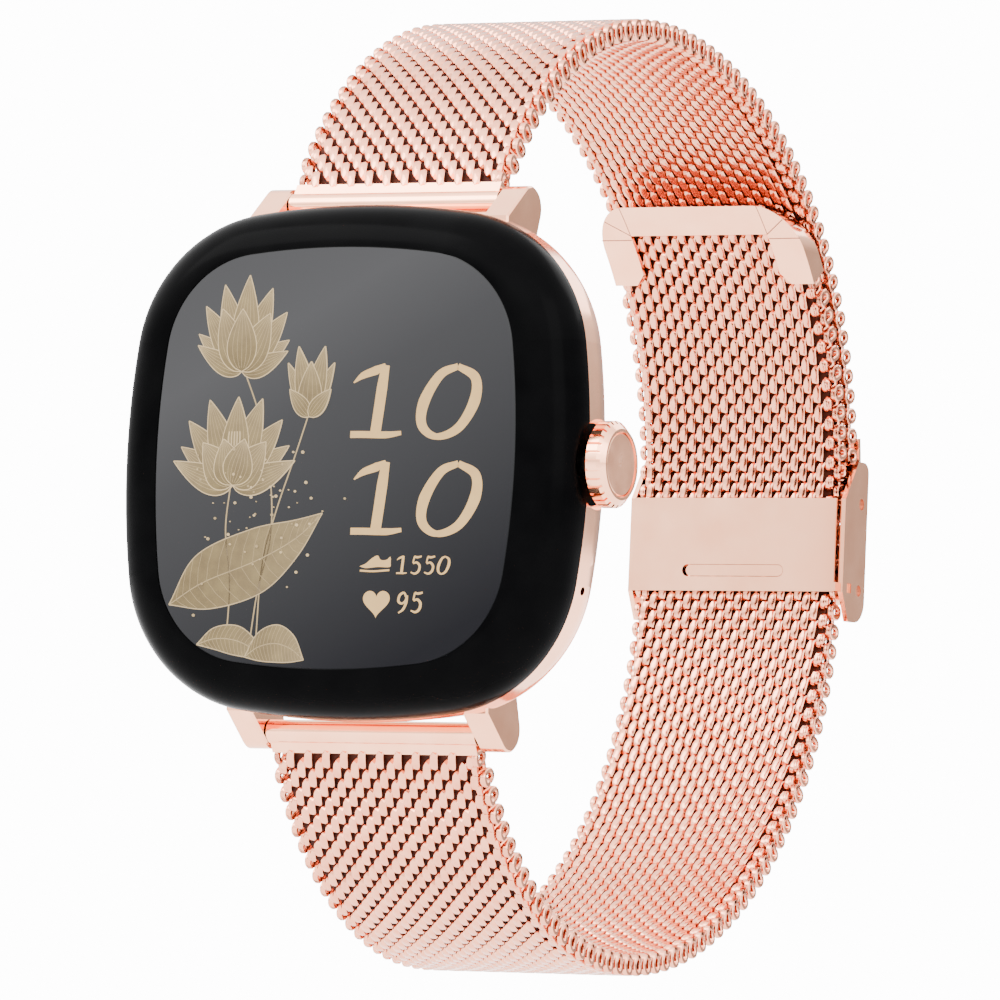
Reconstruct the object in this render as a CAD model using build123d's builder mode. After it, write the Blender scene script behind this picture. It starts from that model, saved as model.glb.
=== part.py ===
from build123d import *
from math import cos, sin, radians
import os

# Square smartwatch on a woven-mesh band, closed round a wrist-sized loop.
# Millimetres. +X points to the crown, +Y from the dial towards the wrist, +Z to twelve o'clock.
# The origin is the middle of the flat sensor window, where the watch rests on the wrist.

os.makedirs("parts", exist_ok=True)

# ---- Driving dimensions ----

# Case: a squircle of four bowed sides, in layers from the glass (front) to the wrist.
half_x = 21.4
half_z = 21.5
side_radius = 70.0
corner_radius = 12.7
front_y = -11.6
seam_y = -7.0
frame_back_y = -1.2
dome_radius = 4.1
frame_round = 4.0
wall = 1.5

# Display glass and the panel behind it.
glass_x = 16.9
glass_z = 17.6
glass_corner = 8.8
glass_gap = 0.06
glass_thick = 1.0
tape_thick = 0.1
window_x = 15.9
window_z = 16.6

# Back of the case.
pocket_floor_y = -3.4
opening_half = 14.2
opening_corner = 10.0
cover_half = 15.8
cover_corner = 9.0
cover_in_y = -2.0
cover_out_y = -0.8
gasket_thick = 0.15
sensor_radius = 10.8
screw_place = 12.2
screw_head_radius = 0.85
screw_radius = 0.45
contact_x = 2.6
contact_z = -13.0
contact_radius = 0.9

# Crown, on an axis parallel to X.
crown_y = -5.2
crown_radius = 3.6
crown_in_x = 21.65
crown_out_x = 23.5
crown_pocket_radius = 3.75
crown_pocket_x = 20.5
tube_radius = 1.7
tube_bore = 1.2
stem_radius = 1.15
flutes = 30

# Lugs and spring bars. The lug tip is a round nose about its own centre.
bar_y = -2.3
bar_z = 22.2
lug_in_x = 9.95
lug_width = 2.4
nose_y = -1.6
nose_z = 21.75
nose_radius = 1.88
nose_top_angle = 39.0
nose_base_angle = -18.0
plunger_hole = 0.42
bar_radius = 0.62
end_tube_radius = 1.0
end_tube_bore = 0.72
end_tube_half = 9.85

# Band: each strand leaves its spring bar straight, then bends in three tangent arcs.
band_thick = 1.9
band_half = 10.0
band_neck_half = 9.7
neck_radius = 3.2
lead = 1.6
upper_heading = 61.5
upper_arcs = [(32.0, 56.5), (43.9, 43.5), (35.0, 51.5)]
lower_heading = 62.0
lower_arcs = [(31.0, 56.5), (40.8, 44.0), (36.5, 51.5)]
tail_straight = 6.1
tail_radius = 32.8
tail_turn = 36.3
core_half = 9.45
core_top_z = 28.0
core_corner = 3.1
trim_half = 9.9
trim_top_z = 28.35
trim_corner = 3.5
trim_skin = 0.45
trim_leg = 3.1
trim_strip_z = 26.1
trim_notch = 0.9
level_turn = 60.0
ball_radius = 0.95
socket_radius = 1.15

# Clasp, round the inner layer at the middle of the back.
cheek_in_x = 10.3
cheek_thick = 0.45
cheek_set_back = 0.6
cheek_top_z = 6.9
cheek_base_z = -7.6
cheek_out_y = 69.7
plate_top_z = 3.35
plate_base_z = -5.05
plate_half = 10.1
plate_thick = 0.4
plate_gap = 0.16
pin_y = 68.4
hook_pin_z = 3.1
lever_pin_z = -4.7
pin_radius = 0.5
pin_recess = 0.25
lever_half = 10.1


# ---- Shared shapes ----

def layer(y):
    """Plane parallel to the dial at depth y. Its normal points to the front, -Y."""
    return Plane.XZ.offset(-y)


def cushion(x, z, corner, mode=Mode.ADD):
    """Squircle sketch: four bowed sides, then rounded corners."""
    bow = side_radius
    with BuildSketch(mode=Mode.PRIVATE) as outline:
        with Locations((x - bow, 0)):
            Circle(bow)
        for place in ((bow - x, 0), (0, z - bow), (0, bow - z)):
            with Locations(place):
                Circle(bow, mode=Mode.INTERSECT)
        fillet(outline.vertices(), corner)
    add(outline.sketch, mode=mode)


def strand_line(side, heading, arcs):
    """Centre line of a strand from its spring bar, in side-view coordinates (Y, Z). side is 1 above, -1 below."""
    start = (bar_y, side * bar_z)
    lead_end = (start[0] + lead * cos(radians(heading)), start[1] + side * lead * sin(radians(heading)))
    with BuildLine() as line:
        run = Line(start, lead_end)
        for radius, turn in arcs:
            run = JernArc(run @ 1, run % 1, radius, -side * turn)
    return line.edges()


def crown_turned(name, outline):
    """Solid turned about the crown's axis from (x, radius) points."""
    with BuildPart() as turned:
        with BuildSketch(Plane.XY):
            with Locations((0, crown_y)):
                with BuildLine():
                    Polyline(*[(x, crown_y + radius) for x, radius in outline], close=True)
                make_face()
        revolve(axis=Axis((0, crown_y, 0), (1, 0, 0)))
    save(turned, name)
    return turned


def save(piece, name):
    """Labels a finished piece and writes it."""
    piece.part.label = name
    export_step(piece.part, f"parts/{name}.step")


def side_point(point):
    """Side-view (Y, Z) pair of a point on a centre line."""
    return (point.X, point.Y)


upper_line = strand_line(1, upper_heading, upper_arcs)
lower_line = strand_line(-1, lower_heading, lower_arcs)
upper_flex = side_point(upper_line[2] @ 1)
lower_flex = side_point(lower_line[2] @ 1)
outer_y, outer_end_z = side_point(upper_line[3] @ 1)
inner_y, inner_end_z = side_point(lower_line[3] @ 1)
outer_arc_centre = (outer_y - upper_arcs[2][0], outer_end_z)
tail_start = (inner_y, inner_end_z + tail_straight)
tail_centre = (inner_y - tail_radius, tail_start[1])
print("flex axes (y, z):", upper_flex, lower_flex)
print("layers at the clasp (y, z):", (outer_y, outer_end_z), (inner_y, inner_end_z))


# ---- Case ----

# One lug, above twelve o'clock on the crown side; its two side edges carry a fine bevel.
nose_top = (
    nose_y - nose_radius * sin(radians(nose_top_angle)),
    nose_z + nose_radius * cos(radians(nose_top_angle)),
)
nose_base = (
    nose_y + nose_radius * cos(radians(nose_base_angle)),
    nose_z + nose_radius * sin(radians(nose_base_angle)),
)
nose_mid = (nose_y + nose_radius * cos(radians(50)), nose_z + nose_radius * sin(radians(50)))
top_run = 4.0
lug_root = (
    nose_top[0] - top_run * cos(radians(nose_top_angle)),
    nose_top[1] - top_run * sin(radians(nose_top_angle)),
)
with BuildPart() as lug:
    with BuildSketch(Plane.YZ.offset(lug_in_x)):
        with BuildLine():
            Line(lug_root, nose_top)
            ThreePointArc(nose_top, nose_mid, nose_base)
            Polyline(nose_base, (frame_back_y, 16.9), (-3.2, 17.0), (lug_root[0], 19.4), lug_root)
        make_face()
    extrude(amount=lug_width)
    chamfer(lug.faces().filter_by(Axis.X).edges(), 0.16)

# Metal frame: the outline with a rounded back, four lugs and the pocket for the works.
with BuildPart() as mid_frame:
    with BuildSketch(layer(frame_back_y)):
        cushion(half_x, half_z, corner_radius)
    extrude(amount=frame_back_y - seam_y)
    fillet(mid_frame.faces().sort_by(Axis.Y)[-1].outer_wire().edges(), frame_round)
    add(lug.part)
    add(mirror(lug.part, about=Plane.YZ))
    add(mirror(lug.part, about=Plane.XY))
    add(mirror(mirror(lug.part, about=Plane.XY), about=Plane.YZ))
    with BuildSketch(layer(pocket_floor_y)):
        cushion(half_x - wall, half_z - wall, corner_radius - wall)
    extrude(amount=pocket_floor_y - seam_y, mode=Mode.SUBTRACT)
    with BuildSketch(layer(0)):
        cushion(opening_half, opening_half + 0.1, opening_corner)
    extrude(amount=-seam_y, mode=Mode.SUBTRACT)
    with BuildSketch(layer(0)):
        cushion(cover_half + 0.08, cover_half + 0.18, cover_corner)
    extrude(amount=gasket_thick - cover_in_y, mode=Mode.SUBTRACT)
    # Blind holes for the back screws, from the wrist side.
    with Locations(layer(cover_in_y)):
        with GridLocations(2 * screw_place, 2 * screw_place, 2, 2):
            Cylinder(screw_radius, 1.1, align=(Align.CENTER, Align.CENTER, Align.MIN), mode=Mode.SUBTRACT)
    # Spring-bar holes in the inner faces of the lugs.
    for z in (bar_z, -bar_z):
        with Locations(Plane.YZ * Pos(bar_y, z, 0)):
            Cylinder(plunger_hole, 2 * (lug_in_x + 1.3), mode=Mode.SUBTRACT)
    # Crown pocket and the bore of its tube, then the sound holes.
    with Locations(Plane.YZ * Pos(crown_y, 0, crown_pocket_x)):
        Cylinder(crown_pocket_radius, 2, align=(Align.CENTER, Align.CENTER, Align.MIN), mode=Mode.SUBTRACT)
    with Locations(Plane.YZ * Pos(crown_y, 0, half_x)):
        Cylinder(tube_radius, 6, mode=Mode.SUBTRACT)
    with Locations(Plane.YZ * Pos(-5.7, -10.5, half_x)):
        Cylinder(0.35, 4, mode=Mode.SUBTRACT)
    with Locations(Plane.YZ * Pos(-5.5, 0, -half_x)):
        with GridLocations(0, 1.8, 1, 5):
            Box(0.6, 1.1, 4, mode=Mode.SUBTRACT)
save(mid_frame, "mid_frame")

# Glossy domed ring round the display, in front of the frame.
with BuildPart() as bezel_ring:
    with BuildSketch(layer(seam_y)):
        cushion(half_x, half_z, corner_radius)
    extrude(amount=seam_y - front_y)
    fillet(bezel_ring.faces().sort_by(Axis.Y)[0].outer_wire().edges(), dome_radius)
    with BuildSketch(layer(seam_y)):
        cushion(window_x, window_z, glass_corner - 1)
    extrude(amount=seam_y - front_y, mode=Mode.SUBTRACT)
    with BuildSketch(layer(front_y + glass_thick + tape_thick)):
        cushion(glass_x, glass_z, glass_corner)
    extrude(amount=glass_thick + tape_thick, mode=Mode.SUBTRACT)
    with Locations(Plane.YZ * Pos(crown_y, 0, crown_pocket_x)):
        Cylinder(crown_pocket_radius, 2, align=(Align.CENTER, Align.CENTER, Align.MIN), mode=Mode.SUBTRACT)
save(bezel_ring, "bezel_ring")

with BuildPart() as display_glass:
    with BuildSketch(layer(front_y + glass_thick)):
        cushion(glass_x - glass_gap, glass_z - glass_gap, glass_corner - glass_gap)
    extrude(amount=glass_thick)
    chamfer(display_glass.faces().sort_by(Axis.Y)[0].edges(), 0.08)
save(display_glass, "display_glass")

with BuildPart() as glass_tape:
    with BuildSketch(layer(front_y + glass_thick + tape_thick)):
        cushion(glass_x - glass_gap, glass_z - glass_gap, glass_corner)
        cushion(window_x + 0.1, window_z + 0.1, glass_corner - 1, mode=Mode.SUBTRACT)
    extrude(amount=tape_thick)
save(glass_tape, "glass_tape")

# ---- Works inside the case ----

panel_back_y = front_y + glass_thick + 1.05
with BuildPart() as display_panel:
    with BuildSketch(layer(panel_back_y)):
        cushion(window_x - 0.2, window_z - 0.2, glass_corner - 1.2)
    extrude(amount=1.0)
save(display_panel, "display_panel")

chassis_back_y = -8.7
with BuildPart() as inner_chassis:
    with BuildSketch(layer(chassis_back_y)):
        cushion(window_x - 0.2, window_z - 0.9, glass_corner - 1.5)
        with Locations((0, window_z - 1.6)):
            Rectangle(9.4, 3, mode=Mode.SUBTRACT)
        with GridLocations(14, 14, 2, 2):
            Circle(2.2, mode=Mode.SUBTRACT)
    extrude(amount=0.75)
save(inner_chassis, "inner_chassis")

with BuildPart() as battery:
    with BuildSketch(layer(-4.4)):
        with Locations((-0.3, -6.0)):
            RectangleRounded(25.0, 17.2, 3.0)
    extrude(amount=4.2)
    fillet(battery.edges().group_by(Axis.Y)[-1], 0.6)
save(battery, "battery")

board_back_y = -7.6
board_z = 9.6
with BuildPart() as main_board:
    with BuildSketch(layer(board_back_y)):
        with Locations((0, board_z)):
            RectangleRounded(26, 9.6, 2.0)
    extrude(amount=0.8)
save(main_board, "main_board")

with BuildPart() as shield_can:
    with BuildSketch(layer(board_back_y + 1.4)):
        with Locations((0.5, board_z)):
            RectangleRounded(12, 8, 0.8)
    extrude(amount=1.4)
    fillet(shield_can.edges().group_by(Axis.Y)[-1], 0.3)
save(shield_can, "shield_can")

with BuildPart() as memory_chips:
    with BuildSketch(layer(board_back_y + 0.8)):
        with Locations((9.6, board_z + 1.9), (9.6, board_z - 2.3)):
            Rectangle(4.6, 3.2)
    extrude(amount=0.8)
save(memory_chips, "memory_chips")

with BuildPart() as vibration_motor:
    with BuildSketch(layer(board_back_y + 2.5)):
        with Locations((-9.2, board_z)):
            Circle(3.6)
    extrude(amount=2.5)
    chamfer(vibration_motor.edges().group_by(Axis.Y)[-1], 0.3)
save(vibration_motor, "vibration_motor")

# Ribbon from the display panel, round the edge of the chassis, to the board.
ribbon = 0.12
ribbon_z = window_z - 0.55
with BuildPart() as display_ribbon:
    with BuildSketch(Plane.YZ):
        with Locations(((panel_back_y + board_back_y - 0.8) / 2 - ribbon / 2, ribbon_z)):
            Rectangle(board_back_y - 0.8 - panel_back_y - ribbon, ribbon)
        with Locations((board_back_y - 0.8 - ribbon / 2, ribbon_z - 1.2 + ribbon / 2)):
            Rectangle(ribbon, 2.4)
    extrude(amount=4.0, both=True)
save(display_ribbon, "display_ribbon")

with BuildPart() as speaker:
    with BuildSketch(layer(-3.7)):
        with Locations((-17.4, 0)):
            RectangleRounded(3.6, 10.4, 0.8)
    extrude(amount=2.6)
save(speaker, "speaker")

with BuildPart() as microphone:
    with BuildSketch(layer(-5.2)):
        with Locations((17.4, -10.5)):
            Rectangle(2.2, 2.0)
    extrude(amount=1.0)
save(microphone, "microphone")

with BuildPart() as sensor_board:
    with BuildSketch(layer(-2.45)):
        Circle(9.8)
        with PolarLocations(8.3, 3):
            Circle(0.6, mode=Mode.SUBTRACT)
    extrude(amount=0.6)
save(sensor_board, "sensor_board")

with BuildPart() as sensor_leds:
    with BuildSketch(layer(-2.05)):
        RectangleRounded(2.2, 2.2, 0.2)
        with PolarLocations(5.0, 4, start_angle=45):
            Rectangle(1.7, 2.6)
    extrude(amount=0.4)
save(sensor_leds, "sensor_leds")

# ---- Back ----

with BuildPart() as back_cover:
    with BuildSketch(layer(cover_out_y)):
        cushion(cover_half, cover_half + 0.1, cover_corner - 0.08)
    extrude(amount=cover_out_y - cover_in_y)
    fillet(back_cover.faces().sort_by(Axis.Y)[-1].outer_wire().edges(), 0.4)
    with BuildSketch(layer(cover_out_y)):
        Circle(sensor_radius + 0.05)
        with Locations((-contact_x, contact_z), (contact_x, contact_z)):
            Circle(contact_radius)
        with GridLocations(2 * screw_place, 2 * screw_place, 2, 2):
            Circle(screw_radius + 0.05)
    extrude(amount=cover_out_y - cover_in_y, mode=Mode.SUBTRACT)
    with BuildSketch(layer(cover_out_y)):
        with GridLocations(2 * screw_place, 2 * screw_place, 2, 2):
            Circle(screw_head_radius + 0.05)
    extrude(amount=0.55, mode=Mode.SUBTRACT)
save(back_cover, "back_cover")

with BuildPart() as back_gasket:
    with BuildSketch(layer(cover_in_y)):
        cushion(cover_half, cover_half + 0.1, cover_corner - 0.1)
        cushion(opening_half, opening_half + 0.1, opening_corner, mode=Mode.SUBTRACT)
        with GridLocations(2 * screw_place, 2 * screw_place, 2, 2):
            Circle(screw_radius + 0.15, mode=Mode.SUBTRACT)
    extrude(amount=gasket_thick)
save(back_gasket, "back_gasket")

with BuildPart() as back_screws:
    with BuildSketch(layer(cover_out_y - 0.05)):
        with GridLocations(2 * screw_place, 2 * screw_place, 2, 2):
            Circle(screw_head_radius)
    extrude(amount=0.5)
    with BuildSketch(layer(cover_out_y - 0.55)):
        with GridLocations(2 * screw_place, 2 * screw_place, 2, 2):
            Circle(screw_radius)
    extrude(amount=1.65)
    with BuildSketch(layer(cover_out_y - 0.05)):
        with GridLocations(2 * screw_place, 2 * screw_place, 2, 2):
            Rectangle(1.1, 0.22)
            Rectangle(0.22, 1.1)
    extrude(amount=0.25, mode=Mode.SUBTRACT)
save(back_screws, "back_screws")

# Sensor window, flat where it touches the skin.
with BuildPart() as sensor_window:
    with BuildSketch(layer(0)):
        Circle(sensor_radius)
    extrude(amount=1.95)
    fillet(sensor_window.edges().group_by(Axis.Y)[-1], 0.8)
save(sensor_window, "sensor_window")

with BuildPart() as charging_contacts:
    with BuildSketch(layer(cover_out_y)):
        with Locations((-contact_x, contact_z), (contact_x, contact_z)):
            Circle(contact_radius)
    extrude(amount=1.6)
    chamfer(charging_contacts.edges().group_by(Axis.Y)[-1], 0.12)
save(charging_contacts, "charging_contacts")

# ---- Crown ----

tube_in_x = 16.3
crown_turned("crown_tube", [
    (tube_in_x, tube_bore), (tube_in_x, tube_radius), (crown_pocket_x, tube_radius),
    (crown_pocket_x, 3.4), (crown_pocket_x + 0.25, 3.4), (crown_pocket_x + 0.25, tube_bore),
])

# Stem: a spindle in the thrust washer, a seat for the wheel and clip, and two seal grooves.
washer_x = 15.0
wheel_x = 15.45
clip_x = 15.95
stem_shoulder_x = 16.2
groove_radius = 0.75
groove_half = 0.3
seal_places = (17.5, 19.1)
stem_outline = [
    (washer_x - 0.1, 0), (washer_x - 0.1, 0.5), (washer_x + 0.3, 0.5), (washer_x + 0.3, 0.8),
    (stem_shoulder_x, 0.8), (stem_shoulder_x, stem_radius),
]
for seal_x in seal_places:
    stem_outline += [
        (seal_x - groove_half, stem_radius), (seal_x - groove_half, groove_radius),
        (seal_x + groove_half, groove_radius), (seal_x + groove_half, stem_radius),
    ]
stem_outline += [(crown_in_x, stem_radius), (crown_in_x, 0.9), (crown_in_x + 0.85, 0.9), (crown_in_x + 0.85, 0)]
crown_turned("crown_stem", stem_outline)

with BuildPart() as crown_seals:
    for seal_x in seal_places:
        with Locations(Plane.YZ * Pos(crown_y, 0, seal_x)):
            Torus(0.96, 0.2)
save(crown_seals, "crown_seals")

crown_turned("thrust_washer", [
    (washer_x, 0.53), (washer_x, 1.4), (washer_x + 0.25, 1.4), (washer_x + 0.25, 0.53),
])
crown_turned("encoder_wheel", [
    (wheel_x, 0.8), (wheel_x, 1.65), (wheel_x + 0.4, 1.65), (wheel_x + 0.4, 0.8),
])

with BuildPart() as crown_clip:
    with BuildSketch(Plane.YZ.offset(clip_x)):
        with Locations((crown_y, 0)):
            Circle(1.55)
            Circle(0.8, mode=Mode.SUBTRACT)
        with Locations((crown_y + 1.2, 0)):
            Rectangle(1.6, 0.7, mode=Mode.SUBTRACT)
    extrude(amount=stem_shoulder_x - clip_x)
save(crown_clip, "crown_clip")

# Cap: turned, then cut with round-ended flutes over its rim.
inlay_radius = 2.65
inlay_depth = 0.35
with BuildPart() as crown_cap:
    with BuildSketch(Plane.XY):
        with BuildLine():
            Polyline(
                (crown_in_x, crown_y), (crown_in_x, crown_y + crown_radius - 0.35),
                (crown_in_x + 0.3, crown_y + crown_radius), (crown_out_x - 0.6, crown_y + crown_radius),
                (crown_out_x, crown_y + crown_radius - 0.65), (crown_out_x, crown_y + inlay_radius + 0.05),
                (crown_out_x - inlay_depth, crown_y + inlay_radius + 0.05), (crown_out_x - inlay_depth, crown_y),
                close=True,
            )
        make_face()
    revolve(axis=Axis((0, crown_y, 0), (1, 0, 0)))
    with Locations(Plane.YZ * Pos(crown_y, 0, crown_in_x)):
        Cylinder(0.9, 0.85, align=(Align.CENTER, Align.CENTER, Align.MIN), mode=Mode.SUBTRACT)
    for flute in range(flutes):
        turn = radians(360 / flutes * flute)
        outward = Vector(0, cos(turn), sin(turn))
        middle = Vector((crown_in_x + crown_out_x) / 2 + 0.05, crown_y, 0) + outward * (crown_radius + 0.1)
        with BuildSketch(Plane(middle, x_dir=(1, 0, 0), z_dir=outward)):
            SlotOverall(1.5, 0.24)
        extrude(amount=-0.36, mode=Mode.SUBTRACT)
save(crown_cap, "crown_cap")

with BuildPart() as crown_inlay:
    with BuildSketch(Plane.YZ.offset(crown_out_x - inlay_depth)):
        with Locations((crown_y, 0)):
            Circle(inlay_radius)
    extrude(amount=inlay_depth - 0.08)
    chamfer(crown_inlay.edges().group_by(Axis.X)[-1], 0.12)
save(crown_inlay, "crown_inlay")

with BuildPart() as crown_switch:
    with Locations((13.8, crown_y, 0)):
        Box(0.8, 3.0, 3.4)
    with Locations(Plane.YZ * Pos(crown_y, 0, 14.2)):
        Cylinder(0.7, 0.25, align=(Align.CENTER, Align.CENTER, Align.MIN))
save(crown_switch, "crown_switch")

with BuildPart() as crown_bracket:
    with BuildSketch(Plane.XY.offset(2.65)):
        with Locations((14.65, crown_y)):
            Rectangle(3.5, 2.2)
    extrude(amount=0.4)
    with BuildSketch(Plane.YZ.offset(12.9)):
        with Locations((crown_y, 0)):
            Rectangle(3.2, 6.1)
    extrude(amount=0.5)
save(crown_bracket, "crown_bracket")

with BuildPart() as encoder_sensor:
    with Locations((15.65, crown_y, 2.3)):
        Box(1.0, 1.8, 0.7)
save(encoder_sensor, "encoder_sensor")

# ---- Spring bars: a barrel with a sprung plunger at each end ----

barrel_half = 8.9
with BuildPart() as spring_bar_barrels:
    for z in (bar_z, -bar_z):
        with Locations(Plane.YZ * Pos(bar_y, z, 0)):
            Cylinder(bar_radius, 2 * barrel_half)
            for end in (-1, 1):
                with Locations((0, 0, end * (barrel_half - 1.5))):
                    Cylinder(0.43, 3.2, mode=Mode.SUBTRACT)
save(spring_bar_barrels, "spring_bar_barrels")

# Each plunger reaches 0.9 into its lug and can draw back inside the barrel.
for bar, z in (("upper", bar_z), ("lower", -bar_z)):
    for side, sign in (("left", -1), ("right", 1)):
        with BuildPart() as plunger:
            with Locations(Plane.YZ * Pos(bar_y, z, sign * 9.35)):
                Cylinder(0.38, 3.0)
            chamfer(plunger.edges().filter_by(GeomType.CIRCLE), 0.1)
        save(plunger, f"{bar}_plunger_{side}")

# ---- Band ----

half_band = band_thick / 2


def end_tube(name, side, run):
    """Tube round the spring bar, with the tongue that the mesh is welded to."""
    with BuildPart() as tube:
        with BuildSketch(Plane.YZ):
            trace(run, 1.5)
        extrude(amount=end_tube_half - 0.15, both=True)
        with Locations(Plane.YZ * Pos(bar_y, side * bar_z, 0)):
            Cylinder(end_tube_radius, 2 * end_tube_half)
            Cylinder(end_tube_bore, 2 * end_tube_half, mode=Mode.SUBTRACT)
    save(tube, name)


def mesh_root(name, side, runs, flex):
    """Fixed half of a strand: it ends in a round nose that the free half turns about."""
    with BuildPart() as mesh:
        with BuildSketch(Plane.YZ):
            for run in runs:
                trace(run, band_thick)
            with Locations(flex):
                Circle(ball_radius)
        extrude(amount=band_half, both=True)
        # Narrow neck between the lugs.
        for end in (-1, 1):
            with Locations(Plane.YZ * Pos(bar_y, side * bar_z, end * (band_neck_half + 1))):
                Cylinder(neck_radius, 2, mode=Mode.SUBTRACT)
    save(mesh, name)


end_tube("upper_end_tube", 1, upper_line[0])
end_tube("lower_end_tube", -1, lower_line[0])
mesh_root("upper_mesh_root", 1, upper_line[1:3], upper_flex)
mesh_root("lower_mesh_root", -1, lower_line[1:3], lower_flex)

# Free end of the upper strand: it stops above the clasp's hook pin.
mesh_end_z = 6.0
with BuildPart() as upper_mesh_end:
    with BuildSketch(Plane.YZ):
        trace(upper_line[3], band_thick)
        with Locations(upper_flex):
            Circle(socket_radius, mode=Mode.SUBTRACT)
        with Locations((outer_y, mesh_end_z - 5)):
            Rectangle(8, 10, mode=Mode.SUBTRACT)
    extrude(amount=band_half, both=True)
save(upper_mesh_end, "upper_mesh_end")


def tail_sector(inner, outer, first, last):
    """Outline of a stretch of ring about the tail's centre, between two angles."""
    corners = [
        (tail_centre[0] + radius * cos(radians(angle)), tail_centre[1] + radius * sin(radians(angle)))
        for radius, angle in (
            (outer, first), (outer, (first + last) / 2), (outer, last),
            (inner, last), (inner, (first + last) / 2), (inner, first),
        )
    ]
    with BuildLine() as outline:
        ThreePointArc(*corners[0:3])
        Line(corners[2], corners[3])
        ThreePointArc(*corners[3:6])
        Line(corners[5], corners[0])
    return outline.edges()


def tail_block(inner, outer, first, half, top_z, corner):
    """The tail's end from an angle up to a level top with two rounded corners."""
    with BuildPart() as block:
        with BuildSketch(Plane.YZ):
            make_face(tail_sector(inner, outer, first, level_turn))
        extrude(amount=half, both=True)
        with BuildSketch(Plane.XZ):
            with Locations((0, top_z - tail_radius)):
                RectangleRounded(2 * half, 2 * tail_radius, corner)
        extrude(amount=2 * tail_radius, both=True, mode=Mode.INTERSECT)
    return block.part


tail_in = tail_radius - half_band
tail_out = tail_radius + half_band
tail_core = tail_block(tail_in, tail_out, tail_turn, core_half, core_top_z, core_corner)
core_room = tail_block(tail_in, tail_out + 1, tail_turn - 1, core_half, core_top_z, core_corner)
trim_block = tail_block(tail_in - trim_skin, tail_out, tail_turn, trim_half, trim_top_z, trim_corner)

# Free end of the lower strand: up through the clasp, then a tail inside the upper strand.
with BuildLine() as tail_line:
    tail_run = Line((inner_y, inner_end_z), tail_start)
    JernArc(tail_run @ 1, tail_run % 1, tail_radius, tail_turn)
with BuildPart() as lower_mesh_end:
    with BuildSketch(Plane.YZ):
        trace(lower_line[3], band_thick)
        for run in tail_line.edges():
            trace(run, band_thick)
        with Locations(lower_flex):
            Circle(socket_radius, mode=Mode.SUBTRACT)
    extrude(amount=band_half, both=True)
    # Narrower core inside the end trim.
    add(tail_core)
save(lower_mesh_end, "lower_mesh_end")


# Trim round the tail's end: legs and a strip on the wrist side, side walls and a closed top.
window_half = trim_half - trim_leg
leg_base_z = tail_centre[1] + (tail_in - trim_skin) * sin(radians(tail_turn))
with BuildPart() as end_trim:
    add(trim_block)
    add(core_room, mode=Mode.SUBTRACT)
    with BuildSketch(Plane.XZ):
        with BuildLine():
            Polyline(
                (-window_half, trim_strip_z), (window_half, trim_strip_z),
                (window_half, leg_base_z + trim_notch), (window_half + trim_notch, leg_base_z),
                (window_half + trim_notch, 0), (-window_half - trim_notch, 0),
                (-window_half - trim_notch, leg_base_z), (-window_half, leg_base_z + trim_notch),
                close=True,
            )
        make_face()
    extrude(amount=2 * tail_radius, both=True, mode=Mode.SUBTRACT)
save(end_trim, "end_trim")

# ---- Clasp ----

plate_y = inner_y - half_band - plate_gap - plate_thick
cheek_front_y = plate_y + cheek_set_back
ear_z = -4.6
ear_half = 0.4
hole_y = 66.4

# Two cheeks, one each side of the band, with pin holes and a square hole for the plate's tab.
with BuildPart() as clasp_cheeks:
    with BuildSketch(Plane.YZ.offset(cheek_in_x)) as cheek:
        with BuildLine():
            Polyline(
                (cheek_front_y, plate_top_z), (cheek_out_y - 2.2, cheek_top_z), (cheek_out_y, cheek_top_z),
                (cheek_out_y, cheek_base_z), (cheek_out_y - 3.3, cheek_base_z), (cheek_front_y, plate_base_z),
                close=True,
            )
        make_face()
        fillet(cheek.vertices().group_by(Axis.X)[-1].sort_by(Axis.Y)[-1], 1.0)
        fillet(cheek.vertices().group_by(Axis.X)[-1].sort_by(Axis.Y)[0], 2.0)
        with Locations((pin_y, hook_pin_z), (pin_y, lever_pin_z)):
            Circle(pin_radius, mode=Mode.SUBTRACT)
        with Locations((hole_y, ear_z)):
            Rectangle(0.84, 0.84, mode=Mode.SUBTRACT)
    extrude(amount=cheek_thick)
    mirror(about=Plane.YZ)
save(clasp_cheeks, "clasp_cheeks")

# Plate on the wrist side, with a slot, and an ear with a tab on each side.
with BuildPart() as clasp_plate:
    with BuildSketch(layer(plate_y + plate_thick)):
        with Locations((0, (plate_top_z + plate_base_z) / 2)):
            Rectangle(2 * plate_half, plate_top_z - plate_base_z)
        with Locations((0, -3.2)):
            SlotOverall(10.1, 1.1, mode=Mode.SUBTRACT)
    extrude(amount=plate_thick)
    with BuildSketch(Plane.XY.offset(ear_z - ear_half)):
        for end in (-1, 1):
            with Locations((end * (cheek_in_x - 0.125), (plate_y + hole_y + ear_half) / 2)):
                Rectangle(0.25, hole_y + ear_half - plate_y)
            with Locations((end * (cheek_in_x + 0.05), hole_y)):
                Rectangle(0.3, 2 * ear_half)
    extrude(amount=2 * ear_half)
save(clasp_plate, "clasp_plate")

with BuildPart() as clasp_pins:
    for z in (hook_pin_z, lever_pin_z):
        with Locations(Plane.YZ * Pos(pin_y, z, 0)):
            Cylinder(pin_radius, 2 * (cheek_in_x + cheek_thick - pin_recess))
save(clasp_pins, "clasp_pins")

# Hook welded outside the upper strand's end: its lip catches the hook pin from below.
hook_half = 10.05
hook_thick = 0.45
hook_radius = upper_arcs[2][0] + half_band
hook_top_turn = 9.0
lip_base_z = 1.45
lip_thick = 0.5
lip_in_y = pin_y - 0.2
crimp_thick = 0.6


def hook_point(radius, angle):
    """Point on the hook's curved plate, which follows the strand's outer face."""
    return (
        outer_arc_centre[0] + radius * cos(radians(angle)),
        outer_arc_centre[1] + radius * sin(radians(angle)),
    )


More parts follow.
